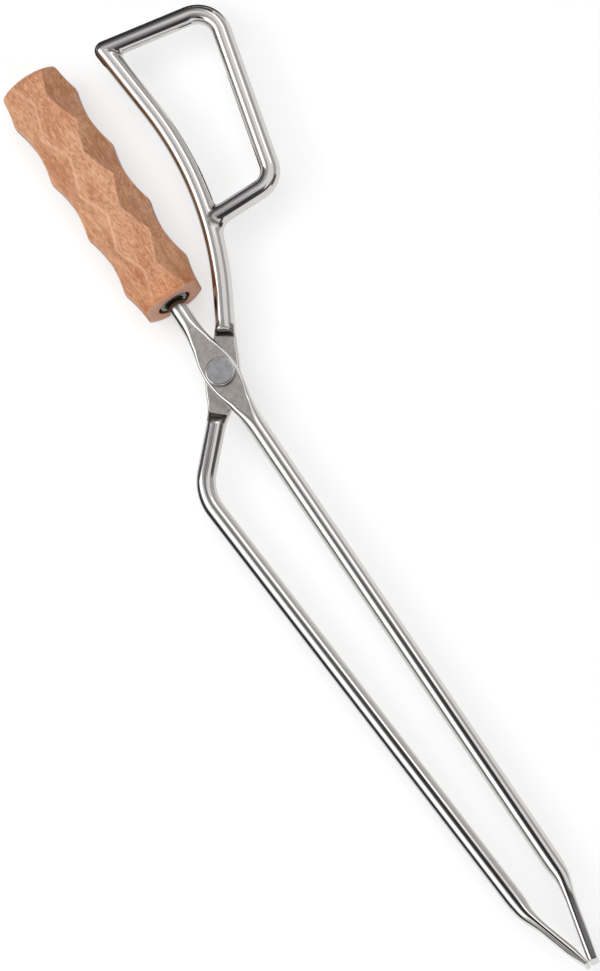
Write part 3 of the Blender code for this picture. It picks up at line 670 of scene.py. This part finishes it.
def octagonRing(even, odd):
    # Corners of eight sides that stand at two distances in turn. Each side is walked straight, and each corner is
    # a small curve between the points one edge width before and after it. Also returned is each point's distance
    # to the nearest corner
    step = np.pi / 4
    index = np.arange(8)
    here = np.where(index % 2, odd[:, None], even[:, None])
    there = np.where(index % 2, even[:, None], odd[:, None])
    slide = (there - here * np.cos(step)) / np.sin(step)
    corner = np.stack([here * np.cos(index * step) - slide * np.sin(index * step),
                       here * np.sin(index * step) + slide * np.cos(index * step)], -1)
    before = np.roll(corner, 1, 1)
    way = corner - before
    size = np.linalg.norm(way, axis=-1, keepdims=True)
    way = way / size
    edge = np.minimum(grip["edge"], size * 0.3)
    share = np.linspace(0, 1, grip["faceSteps"])[None, None, :, None]
    face = before[:, :, None] + way[:, :, None] * (edge[:, :, None] + (size - 2 * edge)[:, :, None] * share)
    toNext = np.roll(way, -1, 1)
    t = np.array([0.25, 0.5, 0.75])[None, None, :, None]
    first, last = (corner - way * edge)[:, :, None], (corner + toNext * np.roll(edge, -1, 1))[:, :, None]
    curve = cornerCurve(first, corner[:, :, None], last, t)
    ring = np.concatenate([face, curve], 2).reshape(len(even), -1, 2)
    distance = np.concatenate([np.minimum(share, 1 - share)[..., 0] * size, 0 * curve[..., 0]], 2)
    return ring, distance.reshape(len(even), -1)


def makeGrip(look):
    length = grip["count"] * grip["pitch"]
    turn = np.radians(np.linspace(0, 90, grip["endSteps"]))
    low = np.stack([grip["blank"] - grip["lowRound"] + grip["lowRound"] * np.sin(turn),
                    grip["lowRound"] - grip["lowRound"] * np.cos(turn)], -1)
    top = np.stack([grip["blank"] - grip["topRound"] + grip["topRound"] * np.cos(turn),
                    length - grip["topRound"] + grip["topRound"] * np.sin(turn)], -1)
    heights = np.linspace(grip["lowRound"], length - grip["topRound"], grip["sideSteps"])[1:-1]
    side = np.stack([np.full(heights.shape, grip["blank"]), heights], -1)
    r, d, middle = grip["recess"], grip["recessDepth"], grip["boreMiddle"]
    inside = roundedPath([(middle, grip["boreEnd"]), (grip["bore"], grip["boreEnd"]), (grip["bore"], grip["pocketEnd"]),
                          (grip["pocket"], grip["pocketEnd"]), (grip["pocket"], d), (r, d), (r, 0.0), low[0]],
                         [0, 0.0002, 0.0002, 0.0002, 0.0002, 0.0003, 0.0005, 0], False)
    crownRadii = np.linspace(grip["topFace"], middle, grip["crownSteps"])[1:]
    crown = np.stack([crownRadii, np.full(crownRadii.shape, length)], -1)
    inside = refined(inside, 0.0012)[:-1]
    # The end face's points are shared out again up to the ring that the eased edge ends on
    onFace = (inside[:, 1] < 1e-7) & (inside[:, 0] > r)
    inside[onFace, 0] = r + (inside[onFace, 0] - r) * (grip["lowFace"] - r) / (low[0, 0] - r)
    crown = refined(crown, 0.001)
    profile = np.concatenate([inside, low, side, top, crown])
    # The blank's radius cuts each ring of the scalloped octagon
    even, evenRidge = scallopHalfWidth(profile[:, 1], 0.0)
    odd, oddRidge = scallopHalfWidth(profile[:, 1], 0.5)
    ring, toCorner = octagonRing(even, odd)
    reach = np.linalg.norm(ring, axis=-1)
    bound = profile[:, :1]
    row = np.arange(len(profile))[:, None]
    plain = (row < len(inside)) | (row >= len(profile) - len(crown))
    # Both ends are eased all round, over their last millimetres
    fromLow, fromTop = profile[:, 1], length - profile[:, 1]
    draw = drawnIn(grip["lowEase"], fromLow) + drawnIn(grip["topEase"], fromTop)
    least = np.where(fromLow < fromTop, grip["lowFace"], grip["topFace"])[:, None]
    radius = np.where(plain, bound, np.maximum(smoothMin(reach, bound, grip["blankEdge"]) - draw[:, None], least))
    ray = ring / reach[..., None]
    outward = ray[..., :1] * gripSide + ray[..., 1:] * np.cross(gripAxis, gripSide)
    points = gripFoot + radius[..., None] * outward + profile[:, 1][:, None, None] * gripAxis
    perFace = grip["faceSteps"] + 3
    isOdd = (np.arange(8 * perFace) // perFace % 2)[None]
    across = np.where(isOdd, oddRidge[:, None], evenRidge[:, None])
    blankEdge = np.exp(-np.abs(reach - bound) / 0.0003) * (bound < grip["blank"] + 1e-6)
    # Painted highlight on the ridges, the corners and the blank's edge
    ridge = np.maximum(np.maximum(across ** 2 * 0.8, np.exp(-toCorner / 0.0002)), 0.6 * blankEdge)
    # The ridges' painted highlight is strongest on the left and the top, where the light falls
    ridge = ridge * between(0.25, 1.0, ease((0.007 - (points - gripFoot) @ gripSide) / 0.006))
    ridge = np.where(plain, 0.0, ridge)
    # Painted shade inside the recess and the bore
    holeShade = ((row < len(inside)) & (profile[:, 1:] > 0.0003)) * np.ones(reach.shape)
    # Oil goes deepest into both ends
    atLow, atTop = [np.exp(-np.clip(gone, 0, None) / depth) for gone, depth in
                    ((fromLow, grip["lowSoak"]), (fromTop, grip["topSoak"]))]
    soaked = np.clip(atLow + 0.6 * atTop, 0, 1)[:, None] * np.ones(reach.shape)
    masks = {"ridge": ridge, "hole": holeShade, "soaked": soaked}
    gridPiece("gripWood", points, "front", ["wooden_grip"], look, values=masks, sharp=60)


wood = {"light": rgb(0.735, 0.40, 0.238), "dark": rgb(0.46, 0.18, 0.082), "fleck": rgb(0.34, 0.14, 0.07),
        "endGrain": rgb(0.90, 0.50, 0.35), "endPore": rgb(0.66, 0.33, 0.215), "soak": rgb(0.90, 0.72, 0.56),
        "ridge": rgb(0.88, 0.60, 0.42), "hole": rgb(0.06, 0.04, 0.028), "turn": (0.05, 0.0, np.radians(-5.0)),
        "bandScale": (300.0, 26.0, 300.0), "fibreScale": (2300.0, 330.0, 2300.0), "patchScale": 70.0,
        "fleckScale": (1700.0, 330.0, 1700.0), "bandDepth": 1.3, "fibreDepth": 2.9, "patchDepth": 0.9, "middle": 0.52,
        "bumpStrength": 0.4, "bumpDistance": 0.0002}


def woodLook():
    # Beech: soft bands and short dark flecks along the grain, painted highlights on the ridges, closer pinkish end
    # grain, oil-dark ends and painted shade in the hole
    look, wire, shader = newLook("oiledBeech", {"Metallic": 0.0, "Specular IOR Level": 0.35})
    place = wire.place()
    facing = wire.node("ShaderNodeTexCoord", output="Normal")
    turned = wire.node("ShaderNodeMapping", sockets={"Vector": place, "Rotation": wood["turn"]})
    bandWay, fibreWay, fleckWay = [wire.node("ShaderNodeMapping", sockets={"Vector": turned, "Scale": scale}) for scale
                                   in (wood["bandScale"], wood["fibreScale"], wood["fleckScale"])]
    band, fibre = wire.noise(bandWay, 1.0, 5.0, 0.6), wire.noise(fibreWay, 1.0, 4.0, 0.62)
    patch = wire.noise(place, wood["patchScale"], 2.0)
    cell = {"Vector": fleckWay, "Scale": 1.0, "Randomness": 1.0}
    fleckAway = wire.node("ShaderNodeTexVoronoi", sockets=cell)
    fleckKind = wire.node("ShaderNodeTexVoronoi", sockets=cell, output="Color")
    fleckOdds = wire.node("ShaderNodeSeparateColor", sockets={0: fleckKind})
    flecks = (1 - fleckAway.rise(0.15, 0.42)) * fleckOdds.rise(0.55, 0.8)
    ridge, hole, soaked = wire.mask("ridge"), wire.mask("hole"), wire.mask("soaked")
    way = wire.node("ShaderNodeSeparateXYZ", sockets={0: facing}, output=1)
    endOn = way.maths("ABSOLUTE", way).rise(0.55, 0.95)
    body = (band - 0.5) * wood["bandDepth"] + (fibre - 0.5) * wood["fibreDepth"] + (patch - 0.5) * wood["patchDepth"]
    tone = (body + wood["middle"]).rise(0.0, 1.0).blend(wood["dark"], wood["light"])
    tone = (flecks * (1 - endOn) * 0.80).blend(tone, wood["fleck"])
    tone = (endOn * 0.8).blend(tone, fibre.rise(0.3, 0.7).blend(wood["endPore"], wood["endGrain"]))
    # Painted highlight on the ridges
    tone = (ridge * 0.28).blend(tone, wood["ridge"])
    tone = (soaked * (1 - endOn)).blend(tone, tone.tinted(wood["soak"]))
    # Painted shade in the hole
    tone = (hole * 0.85).blend(tone, wood["hole"])
    rough = 0.52 + (fibre - 0.5) * 0.2 + flecks * 0.1 - ridge * 0.12
    dress(wire, shader, tone, rough, wood, fibre * 0.5 + band * 0.4 - flecks * 0.6)
    return look


makeGrip(woodLook())


# What the recess and the bore hold

fitting = {"hole": 0.0043, "washerRadius": 0.0068, "washerLow": 0.0033, "washerHigh": 0.0045, "washerEdge": 0.0002,
           "washerStep": 0.0006, "nutLow": 0.0003, "nutHigh": 0.0030, "nutFlats": 0.0118, "nutEdge": 0.00012,
           "nutStep": 0.00008, "coneStart": 0.94, "coneSlope": 1.732, "boreEdge": 0.0002, "faceSteps": 8,
           "boreSteps": 10, "around": 144}


def washerPath(inner, outer, low, high):
    corners = roundedPath([(outer, high), (outer, low), (inner, low), (inner, high)], [fitting["washerEdge"]] * 4, True)
    return refined(corners, fitting["washerStep"], True)


def makeNut():
    # Hexagon distance flats / 2 / cos(angle from a flat's middle), kept inside a 30 degree chamfer cone at both ends
    half, low, high = fitting["nutFlats"] / 2, fitting["nutLow"], fitting["nutHigh"]
    z = refined(np.array([(1.0, high), (1.0, low)]), fitting["nutStep"])[:, 1]
    angle = np.linspace(0, 2 * np.pi, fitting["around"], endpoint=False)
    flats = half / np.cos((angle + np.pi / 6) % (np.pi / 3) - np.pi / 6)
    cone = fitting["coneStart"] * half + np.minimum(high - z, z - low) * fitting["coneSlope"]
    outer = smoothMin(flats[None], cone[:, None], fitting["nutEdge"])
    steps = np.linspace(0, 1, fitting["faceSteps"])[:, None]
    hole, edge = fitting["hole"], fitting["boreEdge"]
    topFace = between(hole + edge, outer[0][None], steps)[:-1]
    lowFace = between(outer[-1][None], hole + edge, steps)[1:]
    bore = np.full((fitting["boreSteps"], len(angle)), hole)
    radius = np.concatenate([topFace, outer, lowFace, bore])
    height = np.concatenate([np.full(len(topFace), high), z, np.full(len(lowFace), low),
                             np.linspace(low + edge, high - edge, len(bore))])
    points = turnedPoints(radius, height, gripFoot, gripAxis, gripSide, fitting["around"])
    gridPiece("lockNut", points, "front", ["lock_nut"], nutLook, wrap=True, sharp=25)


def makeWasher(name, path, origin, axis, sideways, node):
    points = turnedPoints(path[:, :1], path[:, 1], origin, axis, sideways)
    gridPiece(name, points, "front", [node], fittingLook, wrap=True)


recessPath = washerPath(fitting["hole"], fitting["washerRadius"], fitting["washerLow"], fitting["washerHigh"])
makeWasher("recessWasher", recessPath, gripFoot, gripAxis, gripSide, "recess_washer")
makeNut()

brassLook, brassWire, brassShader = newLook("brassInsert", {"Metallic": 1.0})
brassCloud = brassWire.noise(brassWire.place(), 900.0, 4.0)
brassWire.feed(brassShader.inputs["Base Color"], brassCloud.blend(rgb(0.66, 0.47, 0.20), rgb(0.84, 0.66, 0.34)))
brassWire.feed(brassShader.inputs["Roughness"], 0.26 + brassCloud * 0.18)
frame["nodes"]["grip_insert"].data.materials.clear()
frame["nodes"]["grip_insert"].data.materials.append(brassLook)


# The rivet and the washer under its tail

rivet = {"shank": 0.0030, "head": 0.0060, "headThickness": 0.0015, "headRound": 0.0007, "tail": 0.0046,
         "tailHeight": 0.0016, "tailBelly": (0.93, 0.55), "tailFlat": 0.6, "washer": 0.0055,
         "washerThickness": 0.0010, "gap": 0.0003, "middle": 0.0002, "face": 0.0055, "faceShift": (0.00030, 0.00010),
         "foot": 0.0005, "fade": 0.0002, "step": 0.0002}


def makeRivet():
    up, side = np.array([0, 0, 1.0]), np.array([1.0, 0, 0])
    headLow = rod["radius"] + rivet["gap"]
    washerHigh = -rod["radius"] - rivet["gap"]
    washerLow = washerHigh - rivet["washerThickness"]
    tailHigh = washerLow - rivet["gap"]
    tailLow = tailHigh - rivet["tailHeight"]
    headHigh = headLow + rivet["headThickness"]
    belly = (rivet["tail"] * rivet["tailBelly"][0], tailHigh - rivet["tailHeight"] * rivet["tailBelly"][1])
    corners = [(rivet["middle"], headHigh), (rivet["head"], headHigh), (rivet["head"], headLow),
               (rivet["shank"], headLow), (rivet["shank"], tailHigh), (rivet["tail"], tailHigh), belly,
               (rivet["tail"] * rivet["tailFlat"], tailLow), (rivet["middle"], tailLow)]
    trims = [0, rivet["headRound"], 0.0002, 0.0001, 0.0001, 0.0002, 0.0006, 0.0008, 0]
    path = refined(roundedPath(corners, trims, False), rivet["step"])
    # The head's face is ground a little off its middle, and its foot carries painted shade for the crevice under the
    # head
    points = turnedPoints(path[:, :1], path[:, 1], pivot, up, side)
    fromMiddle = np.linalg.norm(points[..., :2] - pivot[:2] - np.array(rivet["faceShift"]), axis=-1)
    height = path[:, 1:]
    face = (height > headLow) * ease((rivet["face"] - fromMiddle) / rivet["fade"])
    foot = ease((headLow + rivet["foot"] - height) / rivet["fade"]) * (height > 0) * np.ones(face.shape)
    gridPiece("rivetBody", points, "front", ["pivot_rivet"], rivetLook,
              values={"satin": face, "forged": foot})
    path = washerPath(rivet["shank"] + rivet["gap"], rivet["washer"], washerLow, washerHigh)
    makeWasher("tailWasher", path, pivot, up, side, "rivet_washer")


makeRivet()
print("pieces made")


# The studio: a pale floor, a white world, four soft boxes, and cards that only reflections see. Their places are
# distances from the pivot, across and along the tongs, and heights above the floor

studio = {"floorSize": 14.0, "floorColour": rgb(0.45, 0.45, 0.448), "floorGlow": 0.57, "worldLevel": 0.20,
          "topLevel": 1.7, "keyLevel": 1.6, "fillLevel": 1.25, "frontLevel": 1.9, "distance": 1.1,
          "dark": rgb(0.045, 0.043, 0.046), "rightFront": rgb(0.12, 0.115, 0.115), "rightGrey": rgb(0.50, 0.49, 0.48),
          "loopShade": rgb(0.08, 0.077, 0.077), "cardHeight": 0.0008}


def cardFace(name, corners, colour, fades=()):
    # A flat card through its corners that only reflections see. Each fade is (axis, middle, full, gone): the card
    # is whole within full of the middle along that axis, and dissolves until gone
    foot = (pivot[0], pivot[1], 0.0)
    mesh = bpy.data.meshes.new(name)
    mesh.from_pydata([tuple(np.add(foot, corner)) for corner in corners], [], [range(len(corners))])
    card = placed(name, mesh)
    look = bpy.data.materials.new(name)
    look.use_nodes = True
    look.node_tree.nodes.clear()
    wire = Wire(look.node_tree)
    glow = wire.node("ShaderNodeEmission", sockets={"Color": colour, "Strength": 1.0})
    clear = wire.node("ShaderNodeBsdfTransparent")
    for axis, middle, full, gone in fades:
        along = wire.node("ShaderNodeSeparateXYZ", sockets={0: wire.place()}, output=axis)
        away = wire.maths("ABSOLUTE", along - (foot[axis] + middle)).rise(full, gone)
        glow = wire.node("ShaderNodeMixShader", sockets={0: away, 1: glow, 2: clear})
    end = look.node_tree.nodes.new("ShaderNodeOutputMaterial")
    wire.feed(end.inputs["Surface"], glow)
    mesh.materials.append(look)
    card.visible_camera = card.visible_diffuse = card.visible_shadow = False


def upright(x0, y0, x1, y1, z0, z1):
    return [(x0, y0, z0), (x1, y1, z0), (x1, y1, z1), (x0, y0, z1)]


def level(x0, x1, y0, y1, z):
    return [(x0, y0, z), (x1, y0, z), (x1, y1, z), (x0, y1, z)]


def softBox(name, leftOfTop, width, length, radiance, forward=-0.05, back=17.5):
    # Stands so many degrees left of overhead and back from it. Radiance * pi * area gives the watts
    lamp = bpy.data.lights.new(name, "AREA")
    lamp.shape = "RECTANGLE"
    lamp.size, lamp.size_y = width, length
    lamp.energy = radiance * np.pi * width * length
    box = placed(name, lamp)
    turn, back = np.radians(leftOfTop), np.radians(back)
    way = Vector((-np.cos(back) * np.sin(turn), np.sin(back), np.cos(back) * np.cos(turn)))
    across = Vector((0, 1, 0)).cross(way).normalized()
    place = Vector(pivot) + Vector((0, forward, 0)) + studio["distance"] * way
    box.matrix_world = Matrix.Translation(place) @ Matrix((across, way.cross(across), way)).transposed().to_4x4()
    box.visible_camera = False
    return box


def seenRays(wire):
    # 1 for what the camera sees, straight or in metal and glass
    rays = [wire.node("ShaderNodeLightPath", output=name) for name in
            ("Is Camera Ray", "Is Glossy Ray", "Is Transmission Ray")]
    return wire.maths("MINIMUM", rays[0] + rays[1] + rays[2], 1.0)


def makeStudio():
    floorMesh = bpy.data.meshes.new("floor")
    size = studio["floorSize"]
    floorMesh.from_pydata(level(-size, size, -size, size, 0.0), [], [(0, 1, 2, 3)])
    floor = placed("floor", floorMesh)
    look, wire, shader = newLook("paleFloor", {"Base Color": studio["floorColour"], "Roughness": 0.9,
                                               "Specular IOR Level": 0.1})
    wire.feed(shader.inputs["Emission Strength"], seenRays(wire) * studio["floorGlow"])
    shader.inputs["Emission Color"].default_value = rgb(1, 1, 1)
    floorMesh.materials.append(look)

    world = bpy.data.worlds.new("whiteStudio")
    world.use_nodes = True
    bpy.context.scene.world = world
    wire = Wire(world.node_tree)
    strength = studio["worldLevel"] + seenRays(wire) * (1 - studio["worldLevel"])
    wire.feed(world.node_tree.nodes["Background"].inputs["Strength"], strength)
    world.node_tree.nodes["Background"].inputs["Color"].default_value = rgb(1, 1, 1)

    softBox("keySoftBox", 47, 0.50, 0.95, studio["keyLevel"], 0.03)
    softBox("fillSoftBox", -36, 0.26, 1.1, studio["fillLevel"], 0.42).visible_diffuse = False
    softBox("topSoftBox", 10, 1.5, 1.5, studio["topLevel"]).visible_glossy = False
    softBox("frontSoftBox", 0, 0.8, 0.8, studio["frontLevel"], back=-55).visible_glossy = False


def makeCards():
    dark, low = studio["dark"], studio["cardHeight"]
    cardFace("topFlag", level(-0.14, 0.08, -0.60, 0.46, 0.315), dark,
             [(0, -0.03, 0.055, 0.105), (1, -0.30, 0.15, 0.75)])
    cardFace("topRightFlag", level(-0.03, 0.15, -0.28, 0.04, 0.313), dark,
             [(0, 0.06, 0.03, 0.085), (1, -0.12, 0.05, 0.15)])
    cardFace("leftFrontFlag", level(-1.5, -0.35, -1.0, -0.06, 0.90), dark,
             [(0, -0.92, 0.35, 0.55), (1, -0.53, 0.28, 0.46)])
    cardFace("rightFrontWall", upright(0.88, -1.3, 0.88, -0.3, 0.0, 0.70), studio["rightFront"],
             [(2, 0.0, 0.45, 0.70), (1, -0.80, 0.35, 0.50)])
    cardFace("rightFlag", level(-0.04, 0.52, -0.54, -0.18, 0.31), dark, [(0, 0.24, 0.20, 0.28), (1, -0.36, 0.12, 0.17)])
    cardFace("backWall", upright(-0.9, 0.9, 0.9, 0.9, 0.0, 2.2), dark, [(2, 0.0, 0.0, 2.2)])
    cardFace("leftWall", upright(-0.7, -0.9, -0.7, 0.9, 0.0, 0.36), dark, [(2, 0.0, 0.13, 0.34)])
    cardFace("rightWall", upright(0.9, -0.8, 0.9, 0.8, 0.15, 0.75), studio["rightGrey"])
    cardFace("leftFloorFlag", level(-0.60, -0.058, -0.45, 0.25, low), dark)
    cardFace("backFloorFlag", level(-0.05, 0.15, 0.141, 0.85, low), dark)
    # Two under the finger loop, beside its right side and along its lower bar
    beside = (0.042, 0.068), (0.056, 0.068), (0.0663, 0.112), (0.0552, 0.112)
    cardFace("loopFloorFlag", [(x, y, low) for x, y in beside], studio["loopShade"])
    along = (0.019, 0.055), (0.026, 0.062), (0.052, 0.069), (0.052, 0.084), (0.026, 0.084)
    cardFace("lowBarFloorFlag", [(x, y, low + 0.0001) for x, y in along], studio["loopShade"])


camera = {"lens": 900, "sensor": 36, "distance": 9.710, "target": (0.00256, -0.0569, 0), "tilt": 17.5,
          "rollSine": 0.5358, "rollCosine": 0.8443}


def makeCamera():
    # Looks down from 72.5 degrees on the jaws' side, rolled so that the tongs run from upper left to lower right
    made = placed("camera", bpy.data.cameras.new("camera"))
    made.data.lens = camera["lens"]
    made.data.sensor_width = camera["sensor"]
    tilt, roll = np.radians(camera["tilt"]), np.arctan2(camera["rollSine"], camera["rollCosine"])
    right, up = Vector((1, 0, 0)), Vector((0, np.cos(tilt), np.sin(tilt)))
    back = right.cross(up)
    rolledRight = np.cos(roll) * right - np.sin(roll) * up
    rolledUp = np.sin(roll) * right + np.cos(roll) * up
    target = Vector(pivot) + Vector(camera["target"])
    turn = Matrix((rolledRight, rolledUp, back)).transposed().to_4x4()
    made.matrix_world = Matrix.Translation(target + camera["distance"] * back) @ turn
    bpy.context.scene.camera = made


makeStudio()
makeCards()
makeCamera()
bpy.context.scene.view_settings.view_transform = "Standard"
print("studio made")

bpy.context.view_layer.update()
